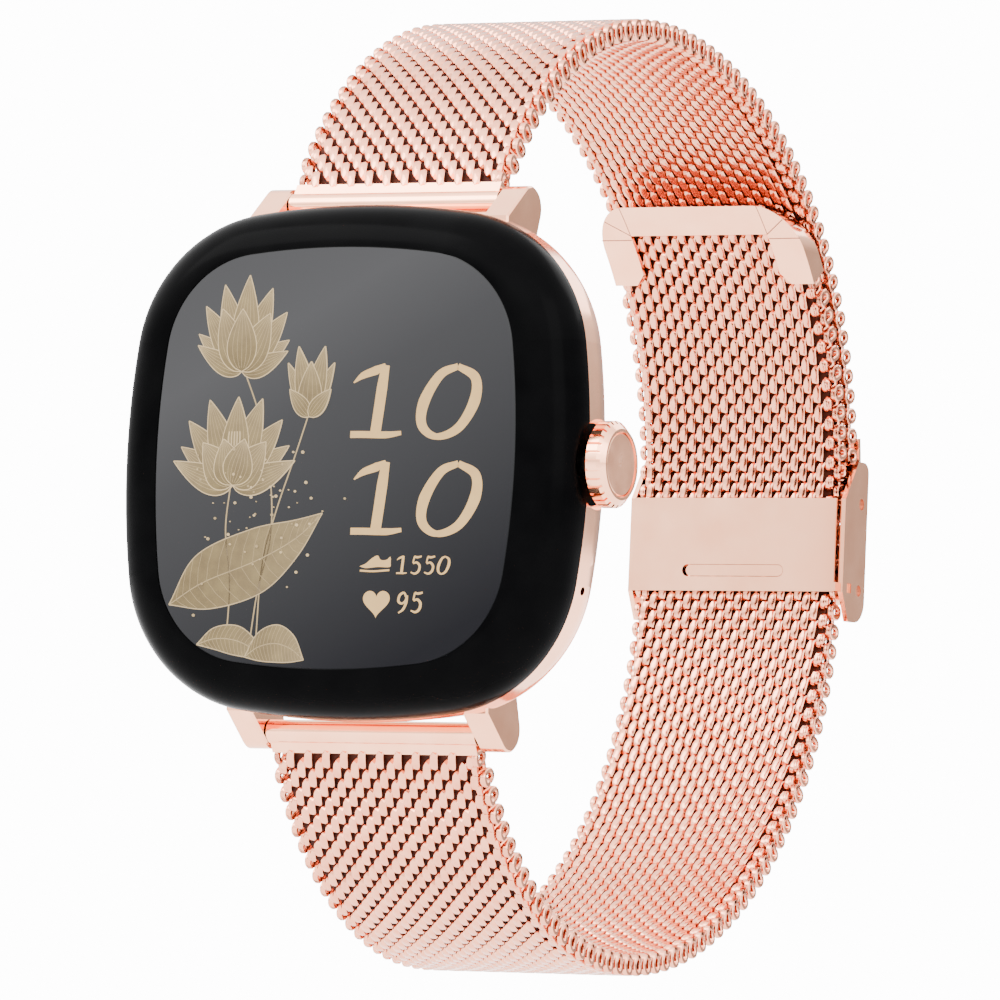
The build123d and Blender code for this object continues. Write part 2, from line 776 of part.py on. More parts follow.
with BuildPart() as band_hook:
    with BuildSketch(Plane.YZ):
        with BuildLine():
            out = hook_radius + hook_thick
            ThreePointArc(*[hook_point(hook_radius, hook_top_turn * share) for share in (0, 0.5, 1)])
            Line(hook_point(hook_radius, hook_top_turn), hook_point(out, hook_top_turn))
            ThreePointArc(*[hook_point(out, hook_top_turn * share) for share in (1, 0.5, 0)])
            Polyline(
                hook_point(out, 0), (hook_point(out, 0)[0], lip_base_z), (lip_in_y, lip_base_z),
                (lip_in_y, lip_base_z + lip_thick), (hook_point(hook_radius, 0)[0], lip_base_z + lip_thick),
                hook_point(hook_radius, 0),
            )
        make_face()
        with Locations((outer_y, mesh_end_z - crimp_thick / 2)):
            Rectangle(band_thick, crimp_thick)
    extrude(amount=hook_half, both=True)
save(band_hook, "band_hook")

# Lever between the cheeks: a cover plate, a barrel on the lower pin and a cam that presses the mesh.
lever_thick = 0.5
lever_top_z = 0.95
barrel_radius = cheek_out_y - pin_y
cam_radius = 1.05
cam_offset = 0.35
with BuildPart() as lock_lever:
    with BuildSketch(Plane.YZ):
        with Locations((cheek_out_y - lever_thick / 2, (lever_top_z + lever_pin_z) / 2)):
            Rectangle(lever_thick, lever_top_z - lever_pin_z)
        with Locations((pin_y, lever_pin_z)):
            Circle(barrel_radius)
        with Locations((pin_y - cam_offset, lever_pin_z)):
            Circle(cam_radius)
        with Locations((pin_y, lever_pin_z)):
            Circle(pin_radius + 0.05, mode=Mode.SUBTRACT)
    extrude(amount=lever_half, both=True)
    chamfer(lock_lever.edges().filter_by(Axis.X).group_by(Axis.Z)[-1], 0.12)
save(lock_lever, "lock_lever")
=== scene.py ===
import math
import random

import bpy
import numpy as np
from mathutils import Matrix, Vector


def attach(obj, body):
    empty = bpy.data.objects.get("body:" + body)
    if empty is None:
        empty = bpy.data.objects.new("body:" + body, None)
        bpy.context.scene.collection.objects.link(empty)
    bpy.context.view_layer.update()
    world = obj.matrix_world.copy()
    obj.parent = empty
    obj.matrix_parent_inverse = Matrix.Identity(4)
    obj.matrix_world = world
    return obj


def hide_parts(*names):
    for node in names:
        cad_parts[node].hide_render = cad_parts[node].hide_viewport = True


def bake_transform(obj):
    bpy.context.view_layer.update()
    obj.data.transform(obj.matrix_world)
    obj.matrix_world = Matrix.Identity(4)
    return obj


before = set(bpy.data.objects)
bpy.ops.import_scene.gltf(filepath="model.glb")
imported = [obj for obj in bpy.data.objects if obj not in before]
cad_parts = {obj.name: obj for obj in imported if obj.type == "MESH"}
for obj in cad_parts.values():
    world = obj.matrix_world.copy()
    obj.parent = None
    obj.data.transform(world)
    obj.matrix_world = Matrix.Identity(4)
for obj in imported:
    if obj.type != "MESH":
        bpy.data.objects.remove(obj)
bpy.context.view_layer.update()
MM = 0.001

# ---------------------------------------------------------------- materials


def material(name):
    """New node material: (material, nodes, links, Principled node)."""
    mat = bpy.data.materials.new(name)
    mat.use_nodes = True
    nodes = mat.node_tree.nodes
    return mat, nodes, mat.node_tree.links, nodes["Principled BSDF"]


def noise(nodes, links, scale, detail=3.0, stretch=(1, 1, 1)):
    """Noise texture in the object's own coordinates."""
    place = nodes.new("ShaderNodeTexCoord")
    mapping = nodes.new("ShaderNodeMapping")
    mapping.inputs["Scale"].default_value = stretch
    links.new(place.outputs["Object"], mapping.inputs["Vector"])
    tex = nodes.new("ShaderNodeTexNoise")
    tex.inputs["Scale"].default_value = scale
    tex.inputs["Detail"].default_value = detail
    links.new(mapping.outputs["Vector"], tex.inputs["Vector"])
    return tex


def ranged(nodes, links, source, low, high):
    """Maps a 0 to 1 value onto low to high."""
    node = nodes.new("ShaderNodeMapRange")
    node.inputs["From Min"].default_value = 0.3
    node.inputs["From Max"].default_value = 0.7
    node.inputs["To Min"].default_value = low
    node.inputs["To Max"].default_value = high
    links.new(source, node.inputs["Value"])
    return node.outputs["Result"]


def tinted(nodes, links, source, dark, light):
    """Colour between dark and light, driven by a 0 to 1 value."""
    ramp = nodes.new("ShaderNodeValToRGB")
    ramp.color_ramp.elements[0].position = 0.3
    ramp.color_ramp.elements[0].color = (*dark, 1)
    ramp.color_ramp.elements[1].position = 0.7
    ramp.color_ramp.elements[1].color = (*light, 1)
    links.new(source, ramp.inputs["Fac"])
    return ramp.outputs["Color"]


def shape_ramp(ramp, stops):
    """Grey stops, (position, value), for a colour ramp."""
    elements = ramp.color_ramp.elements
    elements[0].position, elements[0].color = stops[0][0], (stops[0][1],) * 3 + (1,)
    elements[1].position, elements[1].color = stops[-1][0], (stops[-1][1],) * 3 + (1,)
    for position, value in stops[1:-1]:
        elements.new(position).color = (value, value, value, 1)


def bumped(nodes, links, shader, source, strength, depth):
    """Adds a fine bump to the shader."""
    bump = nodes.new("ShaderNodeBump")
    bump.inputs["Strength"].default_value = strength
    bump.inputs["Distance"].default_value = depth
    links.new(source, bump.inputs["Height"])
    links.new(bump.outputs["Normal"], shader.inputs["Normal"])


def finish_material(name, dark, light, rough, metallic=0.0, scale=600.0, bump=0.05, depth=0.02 * MM,
                    specular=0.5, coat=0.0, stretch=(1, 1, 1)):
    """Painted, moulded or plated finish with slight colour and roughness variation and a fine bump."""
    mat, nodes, links, shader = material(name)
    cloud = noise(nodes, links, scale, 3.0, stretch)
    fine = noise(nodes, links, scale * 6, 4.0, stretch)
    links.new(tinted(nodes, links, cloud.outputs["Fac"], dark, light), shader.inputs["Base Color"])
    links.new(ranged(nodes, links, cloud.outputs["Fac"], *rough), shader.inputs["Roughness"])
    bumped(nodes, links, shader, fine.outputs["Fac"], bump, depth)
    shader.inputs["Metallic"].default_value = metallic
    shader.inputs["Specular IOR Level"].default_value = specular
    shader.inputs["Coat Weight"].default_value = coat
    return mat


ROSE_DARK = (0.91, 0.41, 0.24)
ROSE_LIGHT = (0.95, 0.46, 0.28)
rose = finish_material("rose_gold_polished", ROSE_DARK, ROSE_LIGHT, (0.10, 0.17), 1.0, 300, 0.03, 0.01 * MM)
rose_brushed = finish_material(
    "rose_gold_satin", ROSE_DARK, ROSE_LIGHT, (0.20, 0.28), 1.0, 500, 0.06, 0.01 * MM, stretch=(0.1, 1, 1),
)
wire = finish_material(
    "rose_gold_wire", (0.74, 0.28, 0.165), (0.84, 0.36, 0.22), (0.12, 0.22), 1.0, 900, 0.05,
)
seam = finish_material(
    "rose_gold_seam", (0.20, 0.07, 0.04), (0.26, 0.10, 0.06), (0.35, 0.5), 0.6, 900, 0.05,
)
# Near-black painted shade for the heart of the weave, standing in for the shadow between the wires.
painted_shade = finish_material(
    "rose_gold_shadow", (0.030, 0.006, 0.003), (0.055, 0.012, 0.006), (0.5, 0.65), 0.0, 900, 0.1,
    specular=0.1,
)
# Clasp pins darker than the rest of the rose gold: painted shade, standing in for the shadow in their
# recessed holes.
shaded_pin_metal = finish_material(
    "rose_gold_pin_painted_shade", (0.20, 0.08, 0.05), (0.27, 0.11, 0.07), (0.3, 0.4), 1.0, 600, 0.05,
)
ring_black = finish_material(
    "black_gloss", (0.0004, 0.0004, 0.0005), (0.0009, 0.0009, 0.001), (0.16, 0.24), 0.0, 250, 0.01,
    0.01 * MM, 0.012, 0.0,
)
plastic_black = finish_material(
    "black_plastic", (0.018, 0.018, 0.02), (0.03, 0.03, 0.033), (0.35, 0.5), bump=0.2,
)
plastic_grey = finish_material("grey_plastic", (0.14, 0.14, 0.15), (0.2, 0.2, 0.21), (0.4, 0.55), bump=0.2)
steel = finish_material("turned_steel", (0.55, 0.55, 0.57), (0.68, 0.68, 0.7), (0.22, 0.34), 1.0, 500, 0.08)
foil = finish_material("foil_pouch", (0.6, 0.6, 0.63), (0.75, 0.75, 0.77), (0.3, 0.45), 1.0, 200, 0.3)
board = finish_material("board_green", (0.008, 0.07, 0.035), (0.015, 0.11, 0.055), (0.3, 0.42), bump=0.15)
copper = finish_material("gold_contact", (0.8, 0.55, 0.2), (0.9, 0.65, 0.28), (0.18, 0.26), 1.0, 700, 0.04)
rubber = finish_material("seal_rubber", (0.012, 0.012, 0.012), (0.022, 0.022, 0.022), (0.6, 0.75), bump=0.3)
film = finish_material("polyimide_film", (0.25, 0.09, 0.015), (0.38, 0.15, 0.03), (0.3, 0.4), bump=0.1)
tinted_window = finish_material("sensor_window", (0.006, 0.006, 0.008), (0.012, 0.012, 0.015), (0.05, 0.09),
                                bump=0.01, coat=0.4)


def display_material():
    """Dark cover glass with a painted reflection: an emitted soft diagonal gradient, brighter in the upper
    left, stands in for the studio reflected in the glass.
    """
    mat, nodes, links, shader = material("cover_glass")
    place = nodes.new("ShaderNodeTexCoord")
    split = nodes.new("ShaderNodeSeparateXYZ")
    links.new(place.outputs["Object"], split.inputs["Vector"])
    along = nodes.new("ShaderNodeMath")
    along.operation = "MULTIPLY_ADD"
    along.inputs[1].default_value = -0.55
    links.new(split.outputs["X"], along.inputs[0])
    links.new(split.outputs["Z"], along.inputs[2])
    span = nodes.new("ShaderNodeMapRange")
    span.inputs["From Min"].default_value = -26 * MM
    span.inputs["From Max"].default_value = 26 * MM
    links.new(along.outputs["Value"], span.inputs["Value"])
    ramp = nodes.new("ShaderNodeValToRGB")
    # Painted reflection: emission stops along the diagonal, standing in for the studio's reflection in the
    # glass.
    painted_reflection = [(0.1, 0.004), (0.33, 0.045), (0.42, 0.06), (0.6, 0.085), (0.76, 0.13), (1.0, 0.11)]
    shape_ramp(ramp, painted_reflection)
    links.new(span.outputs["Result"], ramp.inputs["Fac"])
    dust = noise(nodes, links, 400, 2.0)
    shader.inputs["Base Color"].default_value = (0.004, 0.004, 0.005, 1)
    links.new(ramp.outputs["Color"], shader.inputs["Emission Color"])
    shader.inputs["Emission Strength"].default_value = 1.0
    links.new(ranged(nodes, links, dust.outputs["Fac"], 0.03, 0.06), shader.inputs["Roughness"])
    shader.inputs["Specular IOR Level"].default_value = 0.03
    bumped(nodes, links, shader, dust.outputs["Fac"], 0.01, 0.005 * MM)
    return mat


def ink_material(name, dark, light, strength):
    """Lit ink of the display's drawing: the corner attribute 'shade' runs from dark to light."""
    mat, nodes, links, shader = material(name)
    shade = nodes.new("ShaderNodeAttribute")
    shade.attribute_name = "shade"
    grain = noise(nodes, links, 900, 2.0)
    ramp = nodes.new("ShaderNodeValToRGB")
    ramp.color_ramp.elements[0].color = (*dark, 1)
    ramp.color_ramp.elements[1].color = (*light, 1)
    links.new(shade.outputs["Fac"], ramp.inputs["Fac"])
    links.new(ramp.outputs["Color"], shader.inputs["Emission Color"])
    links.new(ranged(nodes, links, grain.outputs["Fac"], 0.25, 0.4), shader.inputs["Roughness"])
    links.new(tinted(nodes, links, grain.outputs["Fac"], (0.05, 0.035, 0.015), (0.07, 0.05, 0.02)),
              shader.inputs["Base Color"])
    shader.inputs["Emission Strength"].default_value = strength
    shader.inputs["Specular IOR Level"].default_value = 0.1
    return mat


glass = display_material()
number_ink = ink_material("number_ink", (0.75, 0.42, 0.12), (1.0, 0.60, 0.24), 1.2)
flower_ink = ink_material("flower_ink", (0.016, 0.013, 0.010), (0.90, 0.68, 0.40), 1.05)

MATERIALS = {
    rose: ["mid_frame", "upper_end_tube", "lower_end_tube", "end_trim", "clasp_cheeks", "clasp_plate",
           "band_hook", "lock_lever", "crown_cap"],
    shaded_pin_metal: ["clasp_pins"],
    rose_brushed: ["crown_inlay"],
    wire: ["upper_mesh_root", "upper_mesh_end", "lower_mesh_root", "lower_mesh_end"],
    ring_black: ["bezel_ring", "crown_tube"],
    glass: ["display_glass"],
    plastic_black: ["display_panel", "memory_chips", "back_cover", "thrust_washer", "encoder_sensor"],
    plastic_grey: ["speaker", "sensor_leds", "encoder_wheel", "crown_switch"],
    steel: ["inner_chassis", "shield_can", "vibration_motor", "microphone", "back_screws", "crown_stem",
            "crown_clip", "crown_bracket", "spring_bar_barrels", "upper_plunger_left",
            "upper_plunger_right", "lower_plunger_left", "lower_plunger_right"],
    foil: ["battery"],
    board: ["main_board", "sensor_board"],
    copper: ["charging_contacts"],
    rubber: ["glass_tape", "back_gasket", "crown_seals"],
    film: ["display_ribbon"],
    tinted_window: ["sensor_window"],
}
for mat, names in MATERIALS.items():
    for node in names:
        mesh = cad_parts[node].data
        mesh.materials.clear()
        mesh.materials.append(mat)


def piece(name, verts, faces, mat, smooth=True, sharp=None):
    """Mesh object from points in millimetres."""
    mesh = bpy.data.meshes.new(name)
    mesh.from_pydata((np.asarray(verts, float) * MM).tolist(), [], faces)
    mesh.validate()
    mesh.update()
    mesh.materials.append(mat)
    mesh.polygons.foreach_set("use_smooth", [smooth] * len(mesh.polygons))
    obj = bpy.data.objects.new(name, mesh)
    bpy.context.scene.collection.objects.link(obj)
    if sharp is not None:
        mesh.set_sharp_from_angle(angle=math.radians(sharp))
    return obj


# ---------------------------------------------------------------- band

BAR = (-2.3, 22.2)
LEAD = 1.6
UPPER = (1, 61.5, [(32.0, 56.5), (43.9, 43.5), (35.0, 51.5)])
LOWER = (-1, 62.0, [(31.0, 56.5), (40.8, 44.0), (36.5, 51.5)])
TAIL = [(None, 6.1), (32.8, 48.6)]
# The tail turns about TAIL_CENTRE, (y, z); TRIM_FACE is the radius of the end trim's wrist side.
TAIL_CENTRE = (33.1386, 3.4306)
TRIM_TURN = 36.3
TRIM_FACE = 31.4
# Room for the weave inside the end trim: half width, top and corner radius.
TRIM_ROOM = (9.35, 27.95, 3.1)


class Strand:
    """Centre line of a strand beyond its end tube: arc length to place, tangent and outward normal."""

    def __init__(self, side, heading, arcs):
        self.side = side
        self.runs = []
        angle = side * math.radians(heading)
        point = np.array([BAR[0], side * BAR[1]]) + LEAD * np.array([math.cos(angle), math.sin(angle)])
        start = 0.0
        for radius, size in arcs:
            length = size if radius is None else radius * math.radians(size)
            self.runs.append((start, length, radius, point, angle))
            point, angle = self.along(self.runs[-1], length)
            start += length
        self.length = start

    def along(self, run, distance):
        """Point and heading at a distance into one run."""
        _, _, radius, point, angle = run
        if radius is None:
            return point + distance * np.array([math.cos(angle), math.sin(angle)]), angle
        turned = angle - self.side * distance / radius
        left = np.array([-math.sin(angle), math.cos(angle)])
        left_end = np.array([-math.sin(turned), math.cos(turned)])
        centre = point - self.side * radius * left
        return centre + self.side * radius * left_end, turned

    def frame_at(self, distances):
        """Places, tangents and outward normals, each an array of (y, z)."""
        places, tangents, normals = [], [], []
        for d in np.ravel(distances):
            run = self.runs[0]
            for candidate in self.runs:
                if d >= candidate[0]:
                    run = candidate
            point, angle = self.along(run, d - run[0])
            places.append(point)
            tangents.append((math.cos(angle), math.sin(angle)))
            normals.append((-self.side * math.sin(angle), self.side * math.cos(angle)))
        shape = np.shape(distances) + (2,)
        return [np.array(a).reshape(shape) for a in (places, tangents, normals)]


upper = Strand(*UPPER)
lower = Strand(LOWER[0], LOWER[1], LOWER[2] + TAIL)
TAIL_FROM = lower.length - TAIL[1][0] * math.radians(TAIL[1][1] - TRIM_TURN) - 0.5

ROW = 0.9
PITCH = 1.70
TURN_POINTS = 18
LOOP_LENGTH = 0.70
LOOP_DEPTH = 0.74
WIRE_THICK = 0.24
WIRE_WIDE = 0.35
FLAT = 0.925
PROFILE = [(1, -0.6), (1, 0.6), (0.6, 1), (-0.6, 1), (-1, 0.6), (-1, -0.6), (-0.6, -1), (0.6, -1)]


def wire_row(strand, middle, shifted, reach):
    """One flattened spiral across the band: grid of points, one ring of PROFILE per step along the wire."""
    turns = 11 if shifted else 12
    half = turns * PITCH / 2
    phase = np.linspace(-2 * math.pi, (turns + 1) * 2 * math.pi, (turns + 2) * TURN_POINTS + 1)
    lean = phase + 0.36 * np.sin(2 * phase) - 0.2 * np.cos(phase)
    edge = min(reach, half - 0.2)
    x = np.clip(-half + PITCH * lean / (2 * math.pi), -edge, edge)
    close = np.clip((np.abs(x) - (edge - 0.9)) / 0.9, 0, 1)
    length = LOOP_LENGTH - 0.22 * close
    c, s = np.cos(phase), np.sin(phase)
    along = length * np.clip(1.12 * c, -1, 1)
    depth = LOOP_DEPTH * np.sign(s) * np.abs(s) ** (0.33 + 0.5 * close)
    wide = (WIRE_WIDE - 0.1 * close) * (0.68 + 0.32 * np.abs(s) ** 0.8)
    path = np.stack([x, along, depth], 1)
    tangent = np.gradient(path, axis=0)
    tangent /= np.linalg.norm(tangent, axis=1)[:, None]
    out = np.cross(np.array([1.0, 0, 0]), tangent)
    out /= np.linalg.norm(out, axis=1)[:, None]
    across = np.cross(tangent, out)
    rings = np.stack([
        path + out * (WIRE_THICK * a) + across * (wide * b)[:, None] for a, b in PROFILE
    ], 1)
    rings[:, :, 2] = np.clip(rings[:, :, 2], -FLAT, FLAT)
    place, _, normal = strand.frame_at(middle + rings[:, :, 1])
    yz = place + normal * rings[:, :, 2:3]
    return np.concatenate([rings[:, :, 0:1], yz], 2)


def row_reach(strand, middle):
    """Half length of a row: shorter between the lugs and inside the rounded end trim."""
    if middle <= 2.2:
        return 9.35
    if strand is upper or middle < TAIL_FROM:
        return 9.72
    z = strand.frame_at(np.array([middle]))[0][0][1]
    half, top, corner = TRIM_ROOM
    over = min(max(z + 0.5 - (top - corner), 0.0), corner)
    return half - 0.1 - corner + math.sqrt(corner ** 2 - over ** 2)


CORE_THICK = 0.3
CORE_INSET = 0.75


def core_strip(strand, first, last, base):
    """Painted shade at the heart of the weave, where the inner turns cross: a dark closed strip between the
    two faces, standing in for the shadow between the wires.
    """
    verts, faces = [], []
    count = 2 * (last - first) + 1
    for middle in np.linspace(0.55 + (first - 0.5) * ROW, 0.55 + (last - 0.5) * ROW, count):
        middle = min(middle, strand.length - 1.0)
        half = row_reach(strand, middle) - CORE_INSET
        place, _, normal = [a[0] for a in strand.frame_at(np.array([middle]))]
        for x, depth in ((-half, -CORE_THICK), (half, -CORE_THICK), (half, CORE_THICK), (-half, CORE_THICK)):
            verts.append((x, *(place + normal * depth)))
    for i in range(count - 1):
        a, b = base + 4 * i, base + 4 * (i + 1)
        for j in range(4):
            k = (j + 1) % 4
            faces.append((a + j, b + j, b + k, a + k))
    last_ring = base + 4 * (count - 1)
    faces.append((base, base + 1, base + 2, base + 3))
    faces.append((last_ring + 3, last_ring + 2, last_ring + 1, last_ring))
    return np.array(verts), faces


def weave(name, strand, first, last):
    """Rows numbered first to last - 1 of a strand, as one piece."""
    verts, faces = [], []
    sides = len(PROFILE)
    for row in range(first, last):
        middle = 0.55 + row * ROW
        grid = wire_row(strand, middle, row % 2, row_reach(strand, middle))
        base = sum(len(v) for v in verts)
        steps = len(grid)
        verts.append(grid.reshape(-1, 3))
        for i in range(steps - 1):
            for j in range(sides):
                k = (j + 1) % sides
                a, b = base + i * sides, base + (i + 1) * sides
                faces.append((a + j, b + j, b + k, a + k))
        faces.append(tuple(base + j for j in range(sides)))
        faces.append(tuple(base + (steps - 1) * sides + j for j in reversed(range(sides))))
    wires = len(faces)
    base = sum(len(v) for v in verts)
    core_verts, core_faces = core_strip(strand, first, last, base)
    verts.append(core_verts)
    faces.extend(core_faces)
    obj = piece(name, np.concatenate(verts), faces, wire, sharp=32)
    # The core strip's faces take the near-black painted shade.
    obj.data.materials.append(painted_shade)
    obj.data.polygons.foreach_set("material_index", [0] * wires + [1] * len(core_faces))
    return obj


UPPER_FLEX = 32.0 * math.radians(56.5) + 43.9 * math.radians(43.5)
LOWER_FLEX = 31.0 * math.radians(56.5) + 40.8 * math.radians(44.0)
FLEX_ROWS = 6
upper_end = UPPER_FLEX + 35.0 * math.radians(51.5 - 4.2)


def build_strand(tag, strand, flex, end, body_root, body_end):
    """The weave of one strand: rows that ride each half, and the rows between them, baked in place and
    attached to neither.
    """
    hinge = int(round((flex - 0.55) / ROW))
    total = int((end - 0.55) / ROW)
    low, high = hinge - FLEX_ROWS, hinge + FLEX_ROWS
    cuts = [0, low // 2, low]
    for number, (a, b) in enumerate(zip(cuts, cuts[1:])):
        part = weave(f"{tag}_weave_root_{number}", strand, a, b)
        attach(part, body_root)
        if number == 0:
            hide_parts(f"{tag}_mesh_root")
    part = weave(f"{tag}_weave_flex", strand, low, high)
    points, _, _ = strand.frame_at(np.array([flex - 4.6, flex + 4.6]))
    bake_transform(part)
    step = 40
    for number, a in enumerate(range(high, total, step)):
        part = weave(f"{tag}_weave_end_{number}", strand, a, min(a + step, total))
        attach(part, body_end)
        if number == 0:
            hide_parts(f"{tag}_mesh_end")


build_strand("upper", upper, UPPER_FLEX, upper_end, "upper_strand", "upper_free_end")
build_strand("lower", lower, LOWER_FLEX, lower.length, "lower_strand", "lower_free_end")


# Start and stop, (x, z), of the seams at one corner of the end trim.
SEAMS = [((6.8, 26.1), (6.8, 28.3)), ((6.8, 26.1), (8.85, 27.25)), ((6.85, 25.75), (9.87, 25.75))]


def mitre_lines():
    """Fine seams across the corners of the end trim, raised a hair above its face."""
    verts, faces = [], []
    for end in (-1, 1):
        for start, stop in SEAMS:
            line = np.linspace(start, stop, 9)
            slope = (line[-1] - line[0]) / np.linalg.norm(line[-1] - line[0])
            side = np.array([-slope[1], slope[0]]) * 0.035
            base = len(verts)
            for radius in (TRIM_FACE - 0.012, TRIM_FACE + 0.02):
                for edge in (line + side, line - side):
                    for x, z in edge:
                        y = TAIL_CENTRE[0] + math.sqrt(radius ** 2 - (z - TAIL_CENTRE[1]) ** 2)
                        verts.append((end * x, y, z))
            n = len(line)
            a, b, c, d = base, base + n, base + 2 * n, base + 3 * n
            for i in range(n - 1):
                quads = ((a + i, a + i + 1, b + i + 1, b + i), (c + i + 1, c + i, d + i, d + i + 1),
                         (a + i + 1, a + i, c + i, c + i + 1), (b + i, b + i + 1, d + i + 1, d + i))
                faces.extend(quads)
            faces.extend(((a, b, d, c), (b + n - 1, a + n - 1, c + n - 1, d + n - 1)))
    seams = piece("trim_mitre_lines", verts, faces, seam, smooth=False)
    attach(seams, "lower_free_end")


mitre_lines()


def slot_bar():
    """Smooth bar seen through the slot of the clasp plate."""
    face_y, back_y, middle_z, half, radius = 64.62, 64.80, -3.18, 4.93, 0.5
    outline = [(half - radius + radius * math.cos(t), middle_z + radius * math.sin(t))
               for t in np.linspace(-math.pi / 2, math.pi / 2, 13)]
    outline += [(-x + 0.16, z) for x, z in reversed(outline)]
    n = len(outline)
    verts = [(x, y, z) for y in (face_y, back_y) for x, z in outline]
    faces = [tuple(range(n)), tuple(reversed(range(n, 2 * n)))]
    faces += [(i, n + i, n + (i + 1) % n, (i + 1) % n) for i in range(n)]
    bar = piece("slot_bar", verts, faces, rose, smooth=False)
    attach(bar, "lower_free_end")


slot_bar()

# ---------------------------------------------------------------- display drawing

FRONT = -11.6


class Drawing:
    """Thin flat shapes on the display, each a closed solid. Points are (x, z) in millimetres."""

    def __init__(self):
        self.verts, self.faces, self.shades = [], [], []
        self.lift = 0.008

    def raise_layer(self, step=0.0025):
        self.lift += step

    def fill(self, outline, shades):
        """Closed outline, filled."""
        base, n = len(self.verts), len(outline)
        for depth in (FRONT - self.lift, FRONT - 0.002):
            for (x, z), shade in zip(outline, shades):
                self.verts.append((x, depth, z))
                self.shades.append(shade)
        self.faces.append(tuple(base + i for i in range(n)))
        self.faces.append(tuple(base + n + i for i in reversed(range(n))))
        for i in range(n):
            k = (i + 1) % n
            self.faces.append((base + i, base + n + i, base + n + k, base + k))

    def stroke(self, points, widths, shade=1.0):
        """Line of changing width through the points."""
        points = np.asarray(points, float)
        widths = np.broadcast_to(np.asarray(widths, float), (len(points),))
        slope = np.gradient(points, axis=0)
        slope /= np.linalg.norm(slope, axis=1)[:, None] + 1e-9
        side = np.stack([-slope[:, 1], slope[:, 0]], 1) * widths[:, None] / 2
        base, n = len(self.verts), len(points)
        for depth in (FRONT - self.lift, FRONT - 0.002):
            for edge in (points + side, points - side):
                for x, z in edge:
                    self.verts.append((x, depth, z))
                    self.shades.append(shade)
        a, b, c, d = base, base + n, base + 2 * n, base + 3 * n
        for i in range(n - 1):
            self.faces.append((a + i, a + i + 1, b + i + 1, b + i))
            self.faces.append((c + i + 1, c + i, d + i, d + i + 1))
            self.faces.append((a + i + 1, a + i, c + i, c + i + 1))
            self.faces.append((b + i, b + i + 1, d + i + 1, d + i))
        self.faces.append((a, b, d, c))
        self.faces.append((b + n - 1, a + n - 1, c + n - 1, d + n - 1))

    def make(self, name, mat):
        obj = piece(name, self.verts, self.faces, mat, smooth=False)
        shade = obj.data.attributes.new("shade", "FLOAT", "POINT")
        shade.data.foreach_set("value", np.asarray(self.shades, np.float32))
        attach(obj, "case")
        return obj


def curve(points, steps=14):
    """Smooth line through control points (Catmull-Rom)."""
    p = [np.asarray(q, float) for q in points]
    p = [2 * p[0] - p[1]] + p + [2 * p[-1] - p[-2]]
    line = []
    for a, b, c, d in zip(p, p[1:], p[2:], p[3:]):
        for t in np.linspace(0, 1, steps, endpoint=False):
            line.append(0.5 * (2 * b + (c - a) * t + (2 * a - 5 * b + 4 * c - d) * t * t
                               + (3 * b - a - 3 * c + d) * t ** 3))
    line.append(p[-2])
    return np.array(line)


GLYPHS = {
    "1": [([(0.02, 0.76), (0.16, 0.86), (0.36, 0.93), (0.50, 1.0)], [0.02, 0.10, 0.13, 0.06]),
          ([(0.50, 1.0), (0.46, 0.70), (0.42, 0.36), (0.38, 0.04)], [0.13, 0.17, 0.17, 0.17]),
          ([(0.0, 0.05), (0.2, 0.05), (0.55, 0.045), (0.78, 0.07)], [0.10, 0.10, 0.10, 0.06])],
    "0": [([(0.62, 0.98), (0.36, 0.86), (0.14, 0.50), (0.12, 0.18), (0.34, 0.02), (0.66, 0.14), (0.88, 0.50),
            (0.88, 0.82), (0.62, 0.98)], [0.09, 0.14, 0.18, 0.15, 0.09, 0.14, 0.18, 0.15, 0.09])],
    "5": [([(0.30, 0.96), (0.55, 0.93), (0.85, 0.98)], [0.13, 0.13, 0.10]),
          ([(0.32, 0.96), (0.26, 0.76), (0.24, 0.60)], [0.10, 0.10, 0.10]),
          ([(0.24, 0.58), (0.50, 0.64), (0.72, 0.46), (0.66, 0.18), (0.40, 0.03), (0.08, 0.10)],
           [0.08, 0.13, 0.15, 0.15, 0.12, 0.08])],
    "9": [([(0.74, 0.74), (0.56, 0.96), (0.28, 0.84), (0.20, 0.56), (0.42, 0.44), (0.66, 0.56), (0.78, 0.80)],
           [0.12, 0.11, 0.14, 0.14, 0.11, 0.11, 0.12]),
          ([(0.78, 0.84), (0.74, 0.50), (0.54, 0.16), (0.22, -0.02)], [0.12, 0.15, 0.13, 0.07])],
}


def glyph(drawing, symbol, low, size):
    """One digit in the box from low, (x, z), of the given width and height."""
    for points, widths in GLYPHS[symbol]:
        line = curve([(low[0] + x * size[0], low[1] + z * size[1]) for x, z in points])
        spread = np.interp(np.linspace(0, 1, len(line)), np.linspace(0, 1, len(widths)), widths)
        drawing.stroke(line, spread * size[1] * 0.95)
        drawing.raise_layer(0.0005)


numbers = Drawing()
for x, z in ((1.5, 1.62), (1.9, -6.4)):
    glyph(numbers, "1", (x, z), (6.1, 6.05))
    glyph(numbers, "0", (x + 5.9, z), (6.3, 6.05))
for i, symbol in enumerate("1550"):
    glyph(numbers, symbol, (6.35 + i * 1.25, -9.62), (1.25, 1.5))
for i, symbol in enumerate("95"):
    glyph(numbers, symbol, (6.4 + i * 1.35, -12.8), (1.35, 1.7))

